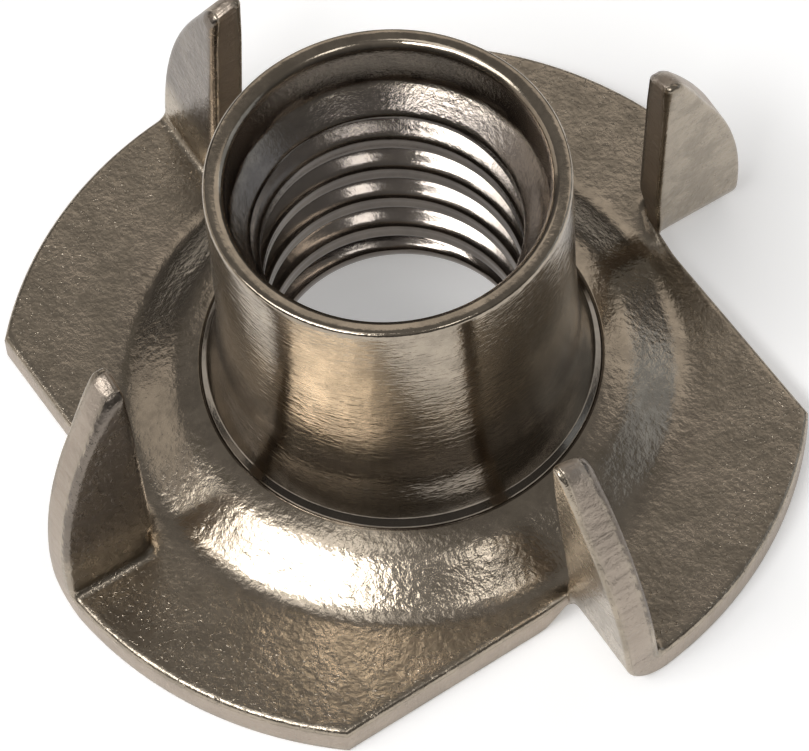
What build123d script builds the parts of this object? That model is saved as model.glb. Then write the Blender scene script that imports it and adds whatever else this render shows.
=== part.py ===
from build123d import *
from math import radians, sqrt, tan
import os

# Four-prong tee nut, pressed from one round blank of sheet steel. The middle is drawn up
# into a threaded barrel, and four prongs are cut free at the rim and bent up beside it.
# Millimetres. Origin on the barrel's axis at the flange's underside, +Z up the barrel.

# Blank
flange_diameter = 22.0
sheet = 1.0
overall_height = 10.5

# Barrel
thread_minor_diameter = 6.88
barrel_wall = 1.31
rim_wall = 0.58
rim_round = 0.12
mouth_round = 0.3
mouth_depth = 1.55
lead_in_angle = 40.0

# Root, where the barrel flares out to a pressed crease above the flange
crease_rise = 1.05
root_flare = 0.68
root_drop = 2.1

# Shoulder, where the sheet falls from the crease to the flat flange
shoulder_top = 0.8
shoulder_top_drop = 0.2
shoulder_slope = 1.15
shoulder_round = 1.4
foot_round = 1.2

# Dish in the underside, which follows the shoulder and leads into the thread
throat_height = 1.4
throat_round = 0.6
dish_top = 2.15
dish_top_angle = 18.0
dish_slope = 1.4

# Prongs
prong_count = 4
first_prong_angle = 65.0
prong_width = 2.74
prong_height = 7.95
prong_tip_width = 0.42
prong_tip_round = 0.2
bend_angle = 85.7
bend_inner_radius = 0.24
slit_splay = 1.5
web_round = 0.45
web_drop = 0.1

# Sizes that follow from these
flange_radius = flange_diameter / 2
bore_radius = thread_minor_diameter / 2
barrel_radius = bore_radius + barrel_wall
mouth_radius = barrel_radius - rim_wall
mouth_floor = overall_height - mouth_depth
lead_in_bottom = mouth_floor - (mouth_radius - bore_radius) * tan(radians(lead_in_angle))
crease_height = sheet + crease_rise
root_top = crease_height + root_drop
crease_radius = barrel_radius + root_flare
shoulder_radius = crease_radius + shoulder_top
foot_radius = shoulder_radius + shoulder_slope
dish_radius = bore_radius + dish_top
dish_height = throat_height - dish_top * tan(radians(dish_top_angle))
dish_foot_radius = dish_radius + dish_slope
bend_outer_radius = bend_inner_radius + sheet
slit_radius = flange_radius - prong_width
web_radius = slit_radius + web_round * 1.2
prong_root_width = sqrt(flange_radius**2 - bend_outer_radius**2) - slit_radius
beyond_rim = 1.0

# One prong with its bend. The bend line runs out along +X from the end of the slit.
bend_plane = Plane(origin=(slit_radius, 0, 0), x_dir=(0, 1, 0), z_dir=(1, 0, 0))
side_plane = Plane(origin=(slit_radius, 0, 0), x_dir=(1, 0, 0), z_dir=(0, -1, 0))
with BuildPart() as prong:
    with BuildSketch(bend_plane) as strip_section:
        with BuildLine() as strip_line:
            bend = JernArc(
                start=(bend_outer_radius, 0),
                tangent=(-1, 0),
                radius=bend_outer_radius,
                arc_size=-bend_angle,
            )
            PolarLine(bend @ 1, prong_height, direction=bend % 1)
            offset(amount=sheet, side=Side.RIGHT)
        make_face()
    extrude(amount=prong_root_width)
    with BuildSketch(side_plane) as blade:
        with BuildLine() as blade_line:
            base = Polyline(
                (0, prong_height),
                (0, 0),
                (prong_root_width, 0),
                (prong_root_width, bend_outer_radius),
            )
            edge = TangentArc(base @ 1, (prong_tip_width, prong_height), tangent=(0, 1))
            Line(edge @ 1, base @ 0)
        make_face()
        fillet(blade.vertices().group_by(Axis.Y)[-1], prong_tip_round)
    extrude(amount=prong_height, both=True, mode=Mode.INTERSECT)

# The opening that one prong leaves, and the same with a small web at the end of the slit
with BuildSketch() as opening:
    Polygon(
        (slit_radius, 0),
        (slit_radius + flange_radius * tan(radians(slit_splay)), -flange_radius),
        (flange_radius + beyond_rim, -flange_radius),
        (flange_radius + beyond_rim, bend_outer_radius),
        (slit_radius, bend_outer_radius),
        align=None,
    )
with BuildSketch() as notch:
    add(opening.sketch)
    with BuildLine() as web_line:
        corner = FilletPolyline(
            (web_radius, 0),
            (slit_radius, 0),
            (slit_radius + web_radius * tan(radians(slit_splay)), -web_radius),
            radius=web_round,
        )
        Polyline(
            corner @ 1,
            (slit_radius - beyond_rim, -web_radius),
            (slit_radius - beyond_rim, bend_outer_radius),
            (web_radius, bend_outer_radius),
            corner @ 0,
        )
    make_face(mode=Mode.SUBTRACT)

# Half section of barrel, shoulder and flange, turned about the axis
with BuildPart() as tee_nut:
    with BuildSketch(Plane.XZ) as section:
        with BuildLine() as section_line:
            root = TangentArc(
                (barrel_radius, root_top), (crease_radius, crease_height), tangent=(0, -1)
            )
            FilletPolyline(
                root @ 1,
                (shoulder_radius, crease_height - shoulder_top_drop),
                (foot_radius, sheet),
                (flange_radius, sheet),
                (flange_radius, 0),
                (dish_foot_radius, 0),
                (dish_radius, dish_height),
                (bore_radius, throat_height),
                (bore_radius, lead_in_bottom),
                (mouth_radius, mouth_floor),
                (mouth_radius, overall_height),
                (barrel_radius, overall_height),
                root @ 0,
                radius=[
                    shoulder_round,
                    foot_round,
                    0,
                    0,
                    0,
                    0,
                    throat_round,
                    0,
                    0,
                    mouth_round,
                    rim_round,
                ],
            )
        make_face()
    revolve(axis=Axis.Z)

    # Where each prong was cut free and bent up, the flange ends at a slit and a bend. The
    # webs stay below its upper face.
    with BuildSketch() as notches:
        with PolarLocations(0, prong_count, start_angle=first_prong_angle):
            add(notch.sketch)
    extrude(amount=crease_height, mode=Mode.SUBTRACT)
    with BuildSketch(Plane.XY.offset(sheet - web_drop)) as openings:
        with PolarLocations(0, prong_count, start_angle=first_prong_angle):
            add(opening.sketch)
    extrude(amount=crease_height, mode=Mode.SUBTRACT)

    with PolarLocations(0, prong_count, start_angle=first_prong_angle):
        add(prong.part)

tee_nut.part.label = "tee_nut"
os.makedirs("parts", exist_ok=True)
export_step(tee_nut.part, "parts/tee_nut.step")
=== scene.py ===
from math import radians, tan

import bmesh
import bpy
import numpy as np
from bpy.props import FloatProperty, FloatVectorProperty, PointerProperty
from mathutils import Matrix, Vector


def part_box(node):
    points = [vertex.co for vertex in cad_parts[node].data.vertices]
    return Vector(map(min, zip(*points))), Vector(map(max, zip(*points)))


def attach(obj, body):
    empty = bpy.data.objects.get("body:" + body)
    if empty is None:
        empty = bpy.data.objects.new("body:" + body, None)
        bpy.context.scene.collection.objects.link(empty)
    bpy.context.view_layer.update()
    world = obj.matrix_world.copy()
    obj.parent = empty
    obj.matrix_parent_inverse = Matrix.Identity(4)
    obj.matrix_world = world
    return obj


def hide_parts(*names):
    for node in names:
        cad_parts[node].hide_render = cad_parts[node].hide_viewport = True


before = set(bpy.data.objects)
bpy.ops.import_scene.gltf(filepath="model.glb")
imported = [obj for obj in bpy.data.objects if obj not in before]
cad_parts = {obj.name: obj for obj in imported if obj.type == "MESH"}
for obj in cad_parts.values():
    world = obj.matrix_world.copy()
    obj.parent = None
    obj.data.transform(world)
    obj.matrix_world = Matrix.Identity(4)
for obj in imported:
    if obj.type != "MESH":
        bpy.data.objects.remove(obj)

bl_info = {
    "name": "Four-prong tee nut",
    "version": (1, 0, 0),
    "blender": (4, 5, 0),
    "location": "View3D > Sidebar > Tee Nut",
    "description": "Builds a pressed four-prong tee nut and the plain stage it is shown on",
    "category": "Add Mesh",
}

LOW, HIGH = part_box("tee_nut")


# Sizes, colours, camera and lights


class TeeNutSizes(bpy.types.PropertyGroup):
    flange: FloatProperty(
        name="Flange diameter",
        description="Across the round blank, which is also across the flange",
        default=HIGH.x - LOW.x,
        unit="LENGTH",
        precision=4,
    )
    height: FloatProperty(
        name="Height",
        description="From the underside of the flange to the top of the barrel",
        default=HIGH.z - LOW.z,
        unit="LENGTH",
        precision=4,
    )
    sheet: FloatProperty(
        name="Sheet",
        description="Thickness of the sheet at the flange and prongs",
        default=0.001,
        unit="LENGTH",
        precision=4,
    )
    slit: FloatProperty(
        name="Slit radius",
        description="How far from the axis each prong's slit begins",
        default=0.00826,
        unit="LENGTH",
        precision=4,
    )
    prong: FloatProperty(
        name="Prong height",
        description="From the underside of the flange to the prong's tip",
        default=0.00795,
        unit="LENGTH",
        precision=4,
    )
    barrel: FloatProperty(
        name="Barrel radius",
        description="Outside of the barrel at its middle",
        default=0.00475,
        unit="LENGTH",
        precision=4,
    )
    thread: FloatProperty(
        name="Thread crest radius",
        description="From the axis to the crests of the thread",
        default=0.00344,
        unit="LENGTH",
        precision=4,
    )
    pitch: FloatProperty(
        name="Thread pitch",
        description="From one crest to the next along the axis",
        default=0.001411,
        unit="LENGTH",
        precision=4,
    )
    first_prong: FloatProperty(
        name="First prong",
        description="Angle from the X axis to the first prong's bend line",
        default=radians(65),
        unit="ROTATION",
    )
    bend: FloatProperty(
        name="Bend",
        description="How far each prong is bent up out of the flange",
        default=radians(85.7),
        unit="ROTATION",
    )


class TeeNutFinish(bpy.types.PropertyGroup):
    plate: FloatVectorProperty(
        name="Plating",
        description="Colour of the plated steel",
        subtype="COLOR",
        size=3,
        min=0,
        max=1,
        default=(0.42, 0.36, 0.285),
    )
    sheared: FloatVectorProperty(
        name="Sheared edge",
        description="Colour of the edges where the sheet was cut",
        subtype="COLOR",
        size=3,
        min=0,
        max=1,
        default=(0.45, 0.38, 0.32),
    )
    floor: FloatVectorProperty(
        name="Floor",
        description="Colour of the plain floor",
        subtype="COLOR",
        size=3,
        min=0,
        max=1,
        default=(0.9, 0.9, 0.9),
    )


class TeeNutView(bpy.types.PropertyGroup):
    azimuth: FloatProperty(
        name="Azimuth",
        description="Where the camera stands round the part",
        default=radians(36.56),
        unit="ROTATION",
    )
    elevation: FloatProperty(
        name="Elevation",
        description="How far above the floor the camera looks from",
        default=radians(57.66),
        unit="ROTATION",
    )
    roll: FloatProperty(
        name="Roll",
        description="Tilt of the picture",
        default=radians(-4.494),
        unit="ROTATION",
    )
    distance: FloatProperty(
        name="Distance",
        description="From the camera to the point it looks at",
        default=0.129335,
        unit="LENGTH",
    )
    lens: FloatProperty(
        name="Lens",
        description="Focal length for a 36 mm sensor",
        default=216.77,
    )
    window: FloatProperty(
        name="Window",
        description="Brightness of the narrow softbox left of the camera, seen on the shoulder",
        default=10.66,
    )
    window_left: FloatProperty(
        name="Window left",
        description="Brightness of the softbox further to the camera's left",
        default=3.64,
    )
    lamp: FloatProperty(
        name="Lamp",
        description="Brightness of the small softbox on the camera's right, seen in the thread",
        default=3.9,
    )
    overhead: FloatProperty(
        name="Overhead",
        description="Brightness of the softbox high on the camera's left",
        default=1.6,
    )
    back: FloatProperty(
        name="Back",
        description="Brightness of the card behind the part, which the flange reflects",
        default=0.605,
    )
    side: FloatProperty(
        name="Side",
        description="Brightness of the cards low on both sides",
        default=0.5,
    )
    room: FloatProperty(
        name="Room",
        description="Brightness of the room all round",
        default=0.15,
    )
    glow: FloatProperty(
        name="Glow",
        description="How strongly the floor is lit from within, as a light table is",
        default=0.35,
    )


# Curves


def smooth(value):
    """Smooth step: 0 below 0, 1 above 1, and 3v squared less 2v cubed between them."""
    v = np.clip(value, 0.0, 1.0)
    return v * v * (3.0 - 2.0 * v)


def rounded_path(corners, radii):
    """Polyline with each corner replaced by a circular arc tangent to both its sides.

    The arc of radius r starts r tan(turn / 2) before the corner and ends as far after it.
    """
    samples = 14
    points = [corners[0]]
    for before, corner, after, radius in zip(corners, corners[1:], corners[2:], radii[1:]):
        a, b, c = (np.array(p, float) for p in (before, corner, after))
        u = (a - b) / np.linalg.norm(a - b)
        v = (c - b) / np.linalg.norm(c - b)
        half = np.arccos(np.clip(u @ v, -1, 1)) / 2
        if radius <= 0:
            points.append(tuple(b))
            continue
        reach = radius / np.tan(half)
        middle = (u + v) / np.linalg.norm(u + v)
        centre = b + middle * radius / np.sin(half)
        spread = (np.pi / 2 - half) * np.linspace(-1, 1, samples)
        side = (u - middle * (u @ middle)) / np.linalg.norm(u - middle * (u @ middle))
        arc = centre + radius * (
            -np.cos(spread)[:, None] * middle - np.sin(spread)[:, None] * side
        )
        if np.linalg.norm(arc[0] - (b + u * reach)) > np.linalg.norm(arc[-1] - (b + u * reach)):
            arc = arc[::-1]
        points.extend(map(tuple, arc))
    points.append(corners[-1])
    return np.array(points, float)


def stations(path, step, turn):
    """Points along a path, one for each step of length or each turn of the tangent.

    The running measure is length / step + angle / turn, and it is cut into equal shares.
    """
    piece = np.diff(path, axis=0)
    length = np.linalg.norm(piece, axis=1)
    heading = np.unwrap(np.arctan2(piece[:, 1], piece[:, 0]))
    bend = np.abs(np.diff(heading))
    share = length / step
    share[:-1] += bend / turn / 2
    share[1:] += bend / turn / 2
    measure = np.concatenate([[0], np.cumsum(share)])
    count = int(np.ceil(measure[-1])) + 1
    at = np.linspace(0, measure[-1], count)
    return np.column_stack([np.interp(at, measure, path[:, i]) for i in (0, 1)])


def edge_drop(distance, radius):
    """How far a rounded edge falls below its face: a quarter circle of the radius."""
    short = np.clip(radius - distance, 0.0, radius)
    return radius - np.sqrt(np.maximum(radius * radius - short * short, 0.0))


# Steps from the circle of the slits' ends, on both sides of it, and where they stop
NEAR_SLIT = np.array([0, 0.03, 0.08, 0.15])
NEAR_SLIT_END = 0.25

# The blank and its folds, in millimetres. Each sector starts at a prong's bend line.


class Blank:
    """Sizes in millimetres: those of the properties, and the small ones that go with them."""

    def __init__(self, sizes):
        mm = 1000.0
        self.count = 4
        self.sector = 2 * np.pi / self.count
        self.first = sizes.first_prong
        self.rim = sizes.flange * mm / 2
        self.height = sizes.height * mm
        self.sheet = sizes.sheet * mm
        self.slit = sizes.slit * mm
        self.prong = sizes.prong * mm
        self.barrel = sizes.barrel * mm
        self.crest = sizes.thread * mm
        self.pitch = sizes.pitch * mm
        self.bend = sizes.bend
        # Radii of the bend at its inner face, outer face and middle, and its length there
        self.inner = 0.24
        self.outer = self.inner + self.sheet
        self.neutral = self.inner + self.sheet / 2
        self.bend_length = self.neutral * self.bend
        # Splay of the cut, and how far the sheet twists beside the bend
        self.splay = radians(1.5)
        self.smear = 0.9
        # Wear on the edges of the upper and the under face, and the prong's tip
        self.top_round = 0.16
        self.under_round = 0.1
        self.tip_width = 0.42
        self.tip_round = 0.2
        # Radius and floor of the mouth, and where the thread ends above the throat
        self.mouth = 4.17
        self.mouth_floor = 8.97
        self.thread_floor = 1.85

    def prong_length(self):
        """Flat length from the bend line to the tip, which ends at the prong's height."""
        rise = self.prong - (self.outer - self.neutral * np.cos(self.bend))
        return rise / np.sin(self.bend) + self.bend_length - self.outer

    def columns(self):
        """Angles across one sector, close together at the bend and at the slit's end."""
        cut = self.cut_end()
        bend_zone, slit_zone = 0.175, 0.07
        return np.concatenate(
            [
                np.linspace(0, bend_zone, 24)[:-1],
                np.linspace(bend_zone, cut, 30)[:-1],
                np.linspace(cut, self.sector - slit_zone, 24)[:-1],
                np.linspace(self.sector - slit_zone, self.sector, 10),
            ]
        )

    def cut_end(self):
        """Angle in the sector at which the cut edge meets the rim."""
        slope = tan(self.splay)
        # Distance down the cut where slit radius + slope * d and d lie on the rim circle
        a = 1 + slope * slope
        b = self.slit * slope
        down = (-b + np.sqrt(b * b + a * (self.rim**2 - self.slit**2))) / a
        return self.sector - np.arctan2(down, self.slit + slope * down)

    def boundary(self, angle):
        """Radius of the flange's edge at an angle: the rim, or the cut edge past its end."""
        back = self.sector - angle
        cut = self.slit / (np.cos(back) - tan(self.splay) * np.sin(back))
        return np.where(angle <= self.cut_end() + 1e-9, self.rim, np.minimum(cut, self.rim))

    def near_edge(self, x, y):
        """Distance from a point of a lobe or the middle to the nearest edge of the blank."""
        to_rim = self.rim - np.hypot(x, y)
        to_slit = np.hypot(x - self.slit, y)
        turned_x = x * np.cos(self.sector) + y * np.sin(self.sector)
        turned_y = -x * np.sin(self.sector) + y * np.cos(self.sector)
        cut = (self.slit - turned_y * tan(self.splay) - turned_x) * np.cos(self.splay)
        end = np.hypot(turned_x - self.slit, turned_y)
        to_cut = np.where(turned_y <= 0, np.minimum(np.abs(cut), end), end)
        return np.maximum(np.minimum(np.minimum(to_rim, to_slit), to_cut), 0.0)

    def fold(self, x, y, z, weight):
        """Bends the sheet up about the line along x.

        A point at flat distance t past the tangent line turns by t / neutral radius, at its
        own radius from the bend's centre, and goes straight on after the full bend. The
        weight carries it from where it lay flat to there.
        """
        past = self.outer - y
        turn = np.clip(past / self.neutral, 0.0, self.bend)
        radius = self.outer - z
        run = np.maximum(past - self.bend_length, 0.0)
        folded_y = self.outer - radius * np.sin(turn) - run * np.cos(self.bend)
        folded_z = self.outer - radius * np.cos(turn) + run * np.sin(self.bend)
        before = past <= 0
        folded_y = np.where(before, y, folded_y)
        folded_z = np.where(before, z, folded_z)
        return x, y + (folded_y - y) * weight, z + (folded_z - z) * weight

    def drawn_tip(self, y, z):
        """Lengthens the tip on the face that was the blank's underside, as the cut left it."""
        reach, longest, bow = 1.6, 0.38, 0.45
        near_tip = smooth((-y - self.prong_length() + reach) / reach)
        share = z / self.sheet
        return y - near_tip * (longest - bow * share * share)

    def place(self, x, y, z, on_prong=False):
        """Folds points of one sector: at its own bend line, and at the next one's slit."""
        across = smooth((x - self.slit + self.smear / 2) / self.smear)
        if on_prong:
            along = smooth(-y / self.smear)
            return self.fold(x, self.drawn_tip(y, z), z, 1 - (1 - across) * (1 - along))
        own = np.where(y >= -1e-9, across, 0.0)
        x1, y1, z1 = self.fold(x, y, z, own)
        c, s = np.cos(self.sector), np.sin(self.sector)
        tx, ty = x * c + y * s, -x * s + y * c
        weight = smooth((tx - self.slit + self.smear / 2) / self.smear)
        weight = weight * (1 - smooth(-ty / self.smear)) * (ty <= 1e-9)
        reach = 1.5
        near = (weight > 0) & (np.hypot(tx - self.slit, ty) < reach)
        fx, fy, fz = self.fold(tx, ty, z, weight)
        x2, y2, z2 = fx * c - fy * s, fx * s + fy * c, fz
        return np.where(near, x2, x1), np.where(near, y2, y1), np.where(near, z2, z1)


def grid_faces(rows, columns, first):
    """Four corners of each cell of a grid whose points are numbered along its rows."""
    i = np.arange(rows - 1)[:, None] * columns + np.arange(columns - 1)[None, :] + first
    return np.stack([i, i + 1, i + 1 + columns, i + columns], axis=-1).reshape(-1, 4)


class Patches:
    """Grids of points collected into one mesh."""

    def __init__(self):
        self.points = []
        self.faces = []
        self.cut = []
        self.run = []
        self.inner = []
        self.total = 0

    def add(self, x, y, z, cut=0.0, run=0.0, inner=0.0):
        """Adds one grid, with its share of bare cut, length along the edge and painted shade on
        the inner side.
        """
        x, y, z = np.broadcast_arrays(x, y, z)
        rows, columns = x.shape
        self.points.append(np.stack([x, y, z], axis=-1).reshape(-1, 3))
        self.faces.append(grid_faces(rows, columns, self.total))
        self.cut.append(np.broadcast_to(cut, x.shape).reshape(-1))
        self.run.append(np.broadcast_to(run, x.shape).reshape(-1))
        self.inner.append(np.broadcast_to(inner, x.shape).reshape(-1))
        self.total += rows * columns

    def add_sectors(self, blank, x, y, z, cut=0.0, run=0.0, inner=0.0):
        """Adds the grid once for each sector, turned about the axis.

        Each sector's run starts further on, so that no two edges share their streaks.
        """
        run_step = 20.0
        for k in range(blank.count):
            a = blank.first + k * blank.sector
            c, s = np.cos(a), np.sin(a)
            self.add(x * c - y * s, x * s + y * c, z, cut, run + run_step * k, inner)


def upper_profile(b):
    """Radius and height from the slit's circle in over the shoulder, barrel and rim."""
    foot, crown = (7.55, b.sheet), (6.1, 1.9)
    crease_edge, crease, crease_wall = (5.46, 2.05), (5.42, 2.0), (5.37, 2.09)
    root, waist, middle = (5.22, 2.24), (4.84, 3.6), (b.barrel, 6.0)
    rim, lip, mouth = (4.73, b.height), (b.mouth, b.height), (b.mouth, b.mouth_floor)
    start = (b.slit - NEAR_SLIT_END, b.sheet)
    flange_part = [start, foot, crown, crease_edge, crease, crease_wall]
    barrel_part = [root, waist, middle, rim, lip, mouth]
    radii = [0, 1.2, 2.0, 0.03, 0, 0.03, 0.2, 3.5, 6.0, 0.12, 0.3, 0]
    path = rounded_path(flange_part + barrel_part, radii)
    near = np.column_stack([b.slit - NEAR_SLIT, np.full(NEAR_SLIT.size, b.sheet)])
    return np.vstack([near, stations(path, 0.30, radians(9))])


def lower_profile(b):
    """Radius and height from the end of the thread down the throat and under the dish."""
    throat, dish, dish_foot = (b.crest, 1.4), (5.59, 0.701), (6.99, 0.0)
    end = (b.slit - NEAR_SLIT_END, 0.0)
    corners = [(b.crest, b.thread_floor), throat, dish, dish_foot, end]
    path = rounded_path(corners, [0, 0.6, 1.4, 1.2, 0])
    near = np.column_stack([b.slit - NEAR_SLIT, np.zeros(NEAR_SLIT.size)])
    return np.vstack([stations(path, 0.42, radians(14)), near[::-1]])


def thread_profile(phase, depth):
    """Depth of the groove at each share of a pitch.

    A flat crest and a flat root, straight flanks between them with their corners eased, and
    a fine line that splits the crest, as forming leaves it.
    """
    away = np.abs((phase + 0.5) % 1.0 - 0.5)
    crest, root, ease = 0.20, 0.42, 0.022
    slope = depth / (root - crest)
    over = (away - crest) / ease
    past = (away - root) / ease
    rise = slope * ease * (np.logaddexp(0, over) - np.logaddexp(0, past))
    split_depth, split_width = 0.02, 0.028
    return rise + split_depth * np.exp(-((away / split_width) ** 2))


def add_body(patches, b):
    """Barrel, shoulder and middle of the flange, turned about the axis.

    Only the flat part beyond the shoulder is rounded at its edges and folded.
    """
    angle = b.columns()
    flat_start, fold_start = 7.5, 7.6
    sides = ((upper_profile(b), -1, b.top_round), (lower_profile(b), 1, b.under_round))
    for profile, inward, rounding in sides:
        r = profile[:, 0][:, None]
        z = profile[:, 1][:, None] + 0 * angle[None, :]
        x, y = r * np.cos(angle), r * np.sin(angle)
        z = z + inward * np.where(r > flat_start, edge_drop(b.near_edge(x, y), rounding), 0.0)
        near = r > fold_start
        px, py, pz = b.place(x, y, z)
        x, y, z = (np.where(near, bent, flat) for bent, flat in ((px, x), (py, y), (pz, z)))
        patches.add_sectors(b, x, y, z)


def add_thread(patches, b):
    """Thread on a helix: each row climbs one pitch in a turn and is held between its ends.

    The groove fades out above the throat, and a cone opens it into the mouth.
    """
    low, high, per_pitch, depth = b.thread_floor, b.mouth_floor, 18, 0.53
    sector = b.columns()
    angle = np.concatenate([b.first + k * b.sector + sector[:-1] for k in range(b.count)])
    angle = np.append(angle, b.first + 2 * np.pi)
    rows = np.arange(int((high - low) / b.pitch + 4) * per_pitch + 1)[:, None] / per_pitch
    # One crest stands at this height on the far side of the bore
    far_side, crest_height = radians(126.6), 4.23
    turn = (angle[None, :] - far_side) / (2 * np.pi)
    start = np.floor((low - crest_height) / b.pitch) - 1.0
    z = np.clip(crest_height + b.pitch * (start + rows + turn), low, high)
    phase = (z - crest_height) / b.pitch - turn
    run_out, cone_start, cone_angle = 0.4, 8.34, radians(40)
    r = b.crest + thread_profile(phase, depth) * smooth((z - low) / run_out)
    cone = b.crest + (z - cone_start) / tan(cone_angle)
    r = np.clip(np.maximum(r, cone), b.crest, b.mouth)
    r = np.where(z >= high - 1e-9, b.mouth, r)
    r = np.where(z <= low + 1e-9, b.crest, r)
    patches.add(r * np.cos(angle), r * np.sin(angle), z)


# Shares of the way down a cut edge, and how far each shows the bare cut
WALL_SHARES = np.array([0, 0.08, 0.3, 0.55, 0.8, 0.94, 1.0])
WALL_WORN = np.array([0, 0.6, 1, 1, 1, 0.6, 0])


def reach_rows(b):
    """Shares of the way from the slit's circle to the edge, closer together at both ends."""
    width = b.rim - b.slit
    at = np.concatenate([NEAR_SLIT, [NEAR_SLIT_END, 0.5, 0.85, 1.2, 1.55, 1.9, 2.2]])
    from_edge = np.array([0.32, 0.2, 0.13, 0.08, 0.04, 0.015, 0.0])
    return np.concatenate([at / width, 1 - from_edge / width])


def add_lobes(patches, b):
    """The four lobes of the flange: straight lines out from the slit's circle to the edge."""
    angle = b.columns()
    share = reach_rows(b)[:, None]
    edge = b.boundary(angle)
    start_x, start_y = b.slit * np.cos(angle), b.slit * np.sin(angle)
    # Beside the bend, the lines run along the bend line, and turn radial away from it
    level = np.sqrt(np.maximum(b.rim**2 - start_y**2, 0))
    mix_start, mix_span = 0.12, 0.35
    mix = smooth((angle - mix_start) / mix_span)
    heading = np.arctan2(start_y, level) * (1 - mix) + angle * mix
    end_x, end_y = edge * np.cos(heading), edge * np.sin(heading)
    x = start_x + (end_x - start_x) * share
    y = start_y + (end_y - start_y) * share
    away = b.near_edge(x, y)
    away[-1, :] = 0.0
    top = b.sheet - edge_drop(away, b.top_round)
    foot = edge_drop(away, b.under_round)
    for z in (top, foot):
        patches.add_sectors(b, *b.place(x, y, z))
    wall = top[-1] + (foot[-1] - top[-1]) * WALL_SHARES[:, None]
    points = b.place(x[-1] + 0 * wall, y[-1] + 0 * wall, wall)
    patches.add_sectors(b, *points, cut=WALL_WORN[:, None], run=angle * b.rim)


def add_prongs(patches, b):
    """The four prongs: strips cut from the blank, narrowing to a rounded tip, then bent up."""
    share = reach_rows(b)[:, None]
    length = b.prong_length()
    tip_zone = 0.6
    down = np.concatenate(
        [
            NEAR_SLIT,
            np.linspace(NEAR_SLIT_END, length - tip_zone, 52),
            length - np.array([0.45, 0.3, 0.2, 0.14, 0.09, 0.05, 0.02, 0.0]),
        ]
    )[None, :]
    width = b.rim - b.slit
    # The outer edge is the blank's own circle, slowed so that it ends at the tip's width
    slow = np.sqrt(b.rim**2 - (b.slit + b.tip_width) ** 2) / length
    outer = np.sqrt(b.rim**2 - (slow * down) ** 2)
    into = np.clip(down - (length - b.tip_round), 0, b.tip_round)
    curl = b.tip_round - np.sqrt(np.maximum(b.tip_round**2 - into**2, 0))
    near_x = b.slit + curl
    far_x = outer - curl
    x = near_x + (far_x - near_x) * share
    y = -down + 0 * x
    away = np.minimum(np.minimum(x - near_x, far_x - x), length - down)
    away = np.maximum(away, 0.0)
    away[0, :] = 0.0
    away[-1, :] = 0.0
    base = down[0] <= 0
    away[:, base] = np.minimum(x - b.slit, b.rim - x)[:, base]
    # The corners are rounder towards the tip
    worn, top_wear, under_wear = 1.4, 0.06, 0.08
    wear = smooth((down - length + worn) / worn) + 0 * share
    top = b.sheet - edge_drop(away, b.top_round + top_wear * wear)
    foot = edge_drop(away, b.under_round + under_wear * wear)
    # Painted shade: the face inside the bend is darker from the end of the bend up
    shade_start, shade_span = 0.6, 1.2
    inside = smooth((down - shade_start) / shade_span) + 0 * share
    for z, inner in ((top, inside), (foot, 0.0)):
        patches.add_sectors(b, *b.place(x, y, z, on_prong=True), run=down, inner=inner)
    edges = ((x[0], y[0], top[0], foot[0]), (x[-1], y[-1], top[-1], foot[-1]))
    for ex, ey, high, low in edges + ((x[:, -1], y[:, -1], top[:, -1], foot[:, -1]),):
        wall = high + (low - high) * WALL_SHARES[:, None]
        points = b.place(ex + 0 * wall, ey + 0 * wall, wall, on_prong=True)
        patches.add_sectors(b, *points, cut=WALL_WORN[:, None], run=ex - ey)


def mesh_object(name, patches):
    """Welds the grids into one closed mesh in metres, with faces outward."""
    mesh = bpy.data.meshes.new(name)
    points = np.vstack(patches.points) * 0.001
    faces = np.vstack(patches.faces)
    mesh.from_pydata(points, [], faces)
    measures = {"cut_edge": patches.cut, "edge_run": patches.run, "inner_face_painted_shade": patches.inner}
    for attribute, values in measures.items():
        layer = mesh.attributes.new(attribute, "FLOAT", "POINT")
        layer.data.foreach_set("value", np.concatenate(values).astype(np.float32))
    work = bmesh.new()
    work.from_mesh(mesh)
    bmesh.ops.remove_doubles(work, verts=work.verts, dist=4e-7)
    bmesh.ops.dissolve_degenerate(work, edges=work.edges, dist=1e-7)
    bmesh.ops.triangulate(work, faces=[f for f in work.faces if len(f.verts) > 4])
    bmesh.ops.recalc_face_normals(work, faces=work.faces)
    work.to_mesh(mesh)
    work.free()
    mesh.shade_smooth()
    piece = bpy.data.objects.new(name, mesh)
    bpy.context.scene.collection.objects.link(piece)
    return piece


# Finish


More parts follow.
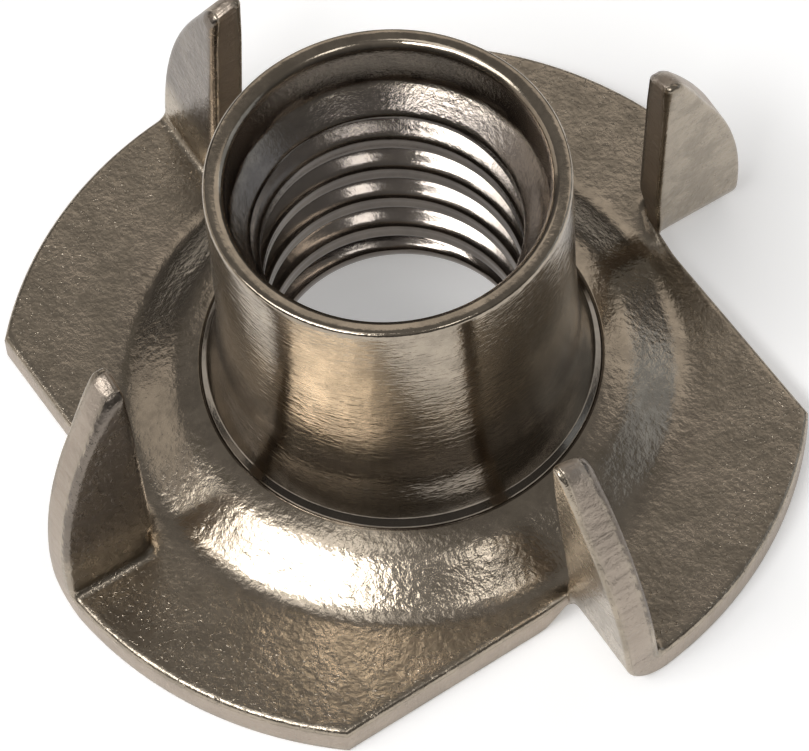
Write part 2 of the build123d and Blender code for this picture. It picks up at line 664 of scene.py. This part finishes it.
class Shading:
    """Short names for the nodes of one material, each returning the socket it feeds on."""

    def __init__(self, name):
        self.material = bpy.data.materials.new(name)
        self.material.use_nodes = True
        self.tree = self.material.node_tree
        self.tree.nodes.clear()
        self.place = self.tree.nodes.new("ShaderNodeTexCoord").outputs["Object"]

    def node(self, kind, **settings):
        made = self.tree.nodes.new(kind)
        for key, value in settings.items():
            setattr(made, key, value)
        return made

    def feed(self, socket, value):
        if hasattr(value, "is_linked"):
            self.tree.links.new(value, socket)
        else:
            socket.default_value = value

    def attribute(self, name):
        return self.node("ShaderNodeAttribute", attribute_name=name).outputs["Fac"]

    def stretched(self, scale):
        """Object coordinates in millimetres, stretched along each axis."""
        made = self.node("ShaderNodeMapping")
        self.feed(made.inputs["Vector"], self.place)
        made.inputs["Scale"].default_value = [1000 * s for s in scale]
        return made.outputs["Vector"]

    def noise(self, vector, scale, detail=3.0, roughness=0.55, distortion=0.0):
        made = self.node("ShaderNodeTexNoise")
        self.feed(made.inputs["Vector"], vector)
        made.inputs["Scale"].default_value = scale
        made.inputs["Detail"].default_value = detail
        made.inputs["Roughness"].default_value = roughness
        made.inputs["Distortion"].default_value = distortion
        return made.outputs["Fac"]

    def streaks(self, run, scale):
        """Noise that varies only along a length."""
        made = self.node("ShaderNodeTexNoise", noise_dimensions="1D")
        self.feed(made.inputs["W"], run)
        made.inputs["Scale"].default_value = scale
        made.inputs["Detail"].default_value = 4.0
        return made.outputs["Fac"]

    def math(self, operation, a, b=0.0):
        made = self.node("ShaderNodeMath", operation=operation)
        for socket, value in zip(made.inputs, (a, b)):
            self.feed(socket, value)
        return made.outputs["Value"]

    def between(self, value, low, high, to_low=0.0, to_high=1.0):
        """Smooth change from to_low at low to to_high at high."""
        made = self.node("ShaderNodeMapRange", interpolation_type="SMOOTHSTEP")
        names = ("Value", "From Min", "From Max", "To Min", "To Max")
        for name, number in zip(names, (value, low, high, to_low, to_high)):
            self.feed(made.inputs[name], number)
        return made.outputs["Result"]

    def mix(self, share, a, b):
        made = self.node("ShaderNodeMix", data_type="RGBA")
        self.feed(made.inputs["Factor"], share)
        self.feed(made.inputs["A"], (*a, 1) if isinstance(a, tuple) else a)
        self.feed(made.inputs["B"], (*b, 1) if isinstance(b, tuple) else b)
        return made.outputs["Result"]

    def bump(self, height, depth, normal=None):
        made = self.node("ShaderNodeBump")
        self.feed(made.inputs["Height"], height)
        made.inputs["Strength"].default_value = 1.0
        made.inputs["Distance"].default_value = depth
        if normal is not None:
            self.feed(made.inputs["Normal"], normal)
        return made.outputs["Normal"]

    def surface(self, shader):
        out = self.node("ShaderNodeOutputMaterial")
        self.tree.links.new(shader.outputs["BSDF"], out.inputs["Surface"])
        return self.material


def plated_steel(finish):
    """Plated steel with a fine peel: glossy barrel, duller flange, light and rough cut edges.

    It is darker in the thread, round the barrel's foot and inside the prongs' bends: painted
    shade.
    """
    s = Shading("plated_steel")
    even = s.stretched((1, 1, 1))
    parts = s.node("ShaderNodeSeparateXYZ")
    s.feed(parts.inputs["Vector"], even)
    x, y, z = (parts.outputs[axis] for axis in "XYZ")
    radius = s.math("SQRT", s.math("ADD", s.math("MULTIPLY", x, x), s.math("MULTIPLY", y, y)))
    cut = s.attribute("cut_edge")

    # Where things are: the bore, the barrel, its outside, its foot, the flange and its rim
    bore = s.math("MULTIPLY", s.between(radius, 4.45, 4.3), s.between(z, 10.45, 10.25))
    barrel = s.math("MULTIPLY", s.between(radius, 5.3, 5.0), s.between(z, 2.4, 3.2))
    shank = s.math("MULTIPLY", barrel, s.between(radius, 4.45, 4.6))
    # Painted shade on the barrel's foot, darker towards the bottom
    foot = s.math("MULTIPLY", s.between(radius, 5.48, 5.4), s.between(radius, 4.45, 4.6))
    foot = s.math("MULTIPLY", foot, s.between(z, 6.4, 4.6))
    flange = s.between(radius, 5.35, 5.9)
    outer = s.between(radius, 7.5, 10.5)

    mottle = s.noise(even, 0.9, 5.0, 0.62)
    grain = s.noise(even, 4.6, 3.0, 0.6)
    plate = tuple(finish.plate)
    dull = tuple(0.76 * v for v in plate)
    blotch = s.math("ADD", s.math("MULTIPLY", mottle, 0.75), s.math("MULTIPLY", grain, 0.25))
    color = s.mix(s.between(blotch, 0.4, 0.6), dull, plate)
    # Painted shade: the thread is darkened, and the mouth above it half as much
    shade = s.math("MULTIPLY", bore, s.between(z, 8.6, 9.1, 0.6, 0.3))
    color = s.mix(shade, color, (0.18, 0.165, 0.165))
    # Painted shade round the barrel's foot
    color = s.mix(s.math("MULTIPLY", foot, 0.5), color, (0.1, 0.09, 0.085))
    # Painted shade on the faces inside the prongs' bends
    inside = s.math("MULTIPLY", s.attribute("inner_face_painted_shade"), 0.65)
    color = s.mix(inside, color, (0.1, 0.085, 0.08))
    color = s.mix(s.math("MULTIPLY", cut, 0.75), color, tuple(finish.sheared))

    # Peel over all, deeper on the flange, level ripples on the barrel, pits by the rim,
    # streaks and tears on the cut edges, scale in the upper thread
    peel = s.math("MULTIPLY", s.math("SUBTRACT", grain, 0.5), s.between(flange, 0, 1, 0.2, 1.0))
    normal = s.bump(peel, 0.000022)
    ripple = s.noise(s.stretched((1, 1, 3.4)), 2.6, 2.0, 0.5, 0.6)
    normal = s.bump(s.math("MULTIPLY", ripple, shank), 0.000009, normal)
    spots = s.noise(even, 9.0, 2.0, 0.5)
    pits = s.math("MULTIPLY", s.between(spots, 0.60, 0.72), outer)
    normal = s.bump(pits, 0.000012, normal)
    streaks = s.streaks(s.attribute("edge_run"), 6.0)
    tears = s.noise(even, 4.0, 4.0, 0.65)
    torn = s.math("MULTIPLY", s.math("ADD", streaks, tears), cut)
    normal = s.bump(torn, 0.00004, normal)
    scale = s.noise(even, 7.0, 4.0, 0.7)
    upper_bore = s.math("MULTIPLY", bore, s.between(z, 5.5, 7.8, 0.04, 1.0))
    normal = s.bump(s.math("MULTIPLY", scale, upper_bore), 0.000012, normal)

    rough = s.between(flange, 0, 1, 0.14, 0.2)
    rough = s.math("ADD", s.between(mottle, 0.3, 0.7, 0.03, -0.02), rough)
    rough = s.math("ADD", rough, s.math("MULTIPLY", s.between(radius, 7.2, 8.4), 0.07))
    rough = s.math("ADD", rough, s.math("MULTIPLY", cut, 0.18))

    metal = s.node("ShaderNodeBsdfPrincipled")
    metal.inputs["Metallic"].default_value = 1.0
    s.feed(metal.inputs["Base Color"], color)
    s.feed(metal.inputs["Roughness"], rough)
    s.feed(metal.inputs["Normal"], normal)
    return s.surface(metal)


def plain(name, color, roughness, glow):
    """A plain, unpatterned surface, lit softly from within as a light table is."""
    material = bpy.data.materials.new(name)
    material.use_nodes = True
    shader = material.node_tree.nodes["Principled BSDF"]
    shader.inputs["Base Color"].default_value = (*color, 1)
    shader.inputs["Roughness"].default_value = roughness
    shader.inputs["Emission Color"].default_value = (*color, 1)
    shader.inputs["Emission Strength"].default_value = glow
    return material


# Operators


class TEENUT_OT_nut(bpy.types.Operator):
    """Build the pressed nut: barrel, thread, flange and four bent prongs in one sheet"""

    bl_idname = "tee_nut.nut"
    bl_label = "Tee nut"

    def execute(self, context):
        b = Blank(context.scene.tee_nut_sizes)
        patches = Patches()
        add_body(patches, b)
        add_thread(patches, b)
        add_lobes(patches, b)
        add_prongs(patches, b)
        piece = mesh_object("pressed_nut", patches)
        piece.data.materials.append(plated_steel(context.scene.tee_nut_finish))
        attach(piece, "root")
        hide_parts("tee_nut")
        return {"FINISHED"}


def softbox(name, azimuth, elevation, size, brightness, color=(1, 1, 1)):
    """A rectangular softbox that faces the part from one distance, as bright as its radiance.

    Its power is radiance times area times pi. Azimuth is taken from the camera's side.
    """
    distance = 0.4
    data = bpy.data.lights.new(name, "AREA")
    data.shape = "RECTANGLE"
    data.size, data.size_y = size
    data.energy = brightness * size[0] * size[1] * np.pi
    data.color = color
    light = bpy.data.objects.new(name, data)
    from_front = bpy.context.scene.tee_nut_view.azimuth + radians(azimuth)
    away = direction(from_front, radians(elevation))
    light.location = away * distance
    light.rotation_euler = away.to_track_quat("Z", "Y").to_euler()
    bpy.context.scene.collection.objects.link(light)


def direction(azimuth, elevation):
    """Unit vector towards an azimuth, which is 0 on the side of -Y, and an elevation."""
    level = np.cos(elevation)
    return Vector((np.sin(azimuth) * level, -np.cos(azimuth) * level, np.sin(elevation)))


def studio_world(brightness):
    """A dim plain room, darker at the horizon than overhead."""
    world = bpy.data.worlds.new("studio")
    world.use_nodes = True
    nodes, links = world.node_tree.nodes, world.node_tree.links
    place = nodes.new("ShaderNodeTexCoord")
    parts = nodes.new("ShaderNodeSeparateXYZ")
    rise = nodes.new("ShaderNodeMapRange")
    links.new(place.outputs["Generated"], parts.inputs["Vector"])
    links.new(parts.outputs["Z"], rise.inputs["Value"])
    # Sine of the elevation, from just above the horizon up
    rise.inputs["From Min"].default_value = 0.1
    rise.inputs["From Max"].default_value = 0.8
    rise.inputs["To Min"].default_value = brightness * 0.35
    rise.inputs["To Max"].default_value = brightness * 1.4
    background = nodes["Background"]
    background.inputs["Color"].default_value = (1.0, 0.97, 0.94, 1)
    links.new(rise.outputs["Result"], background.inputs["Strength"])
    return world


class TEENUT_OT_stage(bpy.types.Operator):
    """Set up the plain floor, the softboxes, the room and the camera"""

    bl_idname = "tee_nut.stage"
    bl_label = "Stage"

    def execute(self, context):
        scene = context.scene
        view = scene.tee_nut_view
        finish = scene.tee_nut_finish
        reach = 2.0
        mesh = bpy.data.meshes.new("floor")
        corners = [(-reach, -reach, 0), (reach, -reach, 0), (reach, reach, 0), (-reach, reach, 0)]
        mesh.from_pydata(corners, [], [(0, 1, 2, 3)])
        mesh.materials.append(plain("plain_floor", finish.floor, 0.6, view.glow))
        floor = bpy.data.objects.new("floor", mesh)
        scene.collection.objects.link(floor)

        scene.world = studio_world(view.room)
        warm = (1.0, 0.93, 0.86)
        cool = (0.78, 0.88, 1.0)
        softbox("window", -44, 53, (0.21, 0.095), view.window)
        softbox("window_left", -74, 46, (0.17, 0.14), view.window_left)
        softbox("lamp_right", 34, 59, (0.07, 0.08), view.lamp)
        softbox("overhead", -67, 66, (0.12, 0.28), view.overhead)
        softbox("back", 160, 40, (0.55, 0.22), view.back, warm)
        softbox("side_left", -105, 20, (0.35, 0.2), view.side, warm)
        softbox("side_right", 100, 20, (0.35, 0.2), 0.9 * view.side, cool)
        scene.view_settings.view_transform = "Standard"

        # The camera looks from the photo's side, with the picture's own tilt and framing
        back = direction(view.azimuth, view.elevation)
        right = Vector((0, 0, 1)).cross(back).normalized()
        up = back.cross(right)
        c, s = np.cos(view.roll), np.sin(view.roll)
        turned = Matrix((right * c + up * s, up * c - right * s, back)).transposed()
        data = bpy.data.cameras.new("camera")
        data.sensor_width = 36
        data.lens = view.lens
        data.shift_x = 0.0080
        data.shift_y = -0.0747
        data.clip_start = 0.005
        data.clip_end = 10
        camera = bpy.data.objects.new("camera", data)
        target = Vector((0, 0, 0.004))
        camera.matrix_world = Matrix.Translation(target + back * view.distance) @ turned.to_4x4()
        scene.collection.objects.link(camera)
        scene.camera = camera
        return {"FINISHED"}


class TEENUT_PT_panel(bpy.types.Panel):
    """Lists the operators and the sizes, colours and lights that they read"""

    bl_label = "Tee Nut"
    bl_idname = "TEENUT_PT_panel"
    bl_space_type = "VIEW_3D"
    bl_region_type = "UI"
    bl_category = "Tee Nut"

    def draw(self, context):
        layout = self.layout
        for operator in (TEENUT_OT_nut, TEENUT_OT_stage):
            layout.operator(operator.bl_idname)
        scene = context.scene
        for group in (scene.tee_nut_sizes, scene.tee_nut_finish, scene.tee_nut_view):
            box = layout.box()
            for name in group.__annotations__:
                box.prop(group, name)


CLASSES = (
    TeeNutSizes,
    TeeNutFinish,
    TeeNutView,
    TEENUT_OT_nut,
    TEENUT_OT_stage,
    TEENUT_PT_panel,
)


def register():
    for cls in CLASSES:
        bpy.utils.register_class(cls)
    bpy.types.Scene.tee_nut_sizes = PointerProperty(type=TeeNutSizes)
    bpy.types.Scene.tee_nut_finish = PointerProperty(type=TeeNutFinish)
    bpy.types.Scene.tee_nut_view = PointerProperty(type=TeeNutView)


def unregister():
    del bpy.types.Scene.tee_nut_sizes
    del bpy.types.Scene.tee_nut_finish
    del bpy.types.Scene.tee_nut_view
    for cls in reversed(CLASSES):
        bpy.utils.unregister_class(cls)


def main():
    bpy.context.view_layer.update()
    register()
    bpy.ops.tee_nut.nut()
    bpy.ops.tee_nut.stage()


if __name__ == "__main__":
    main()
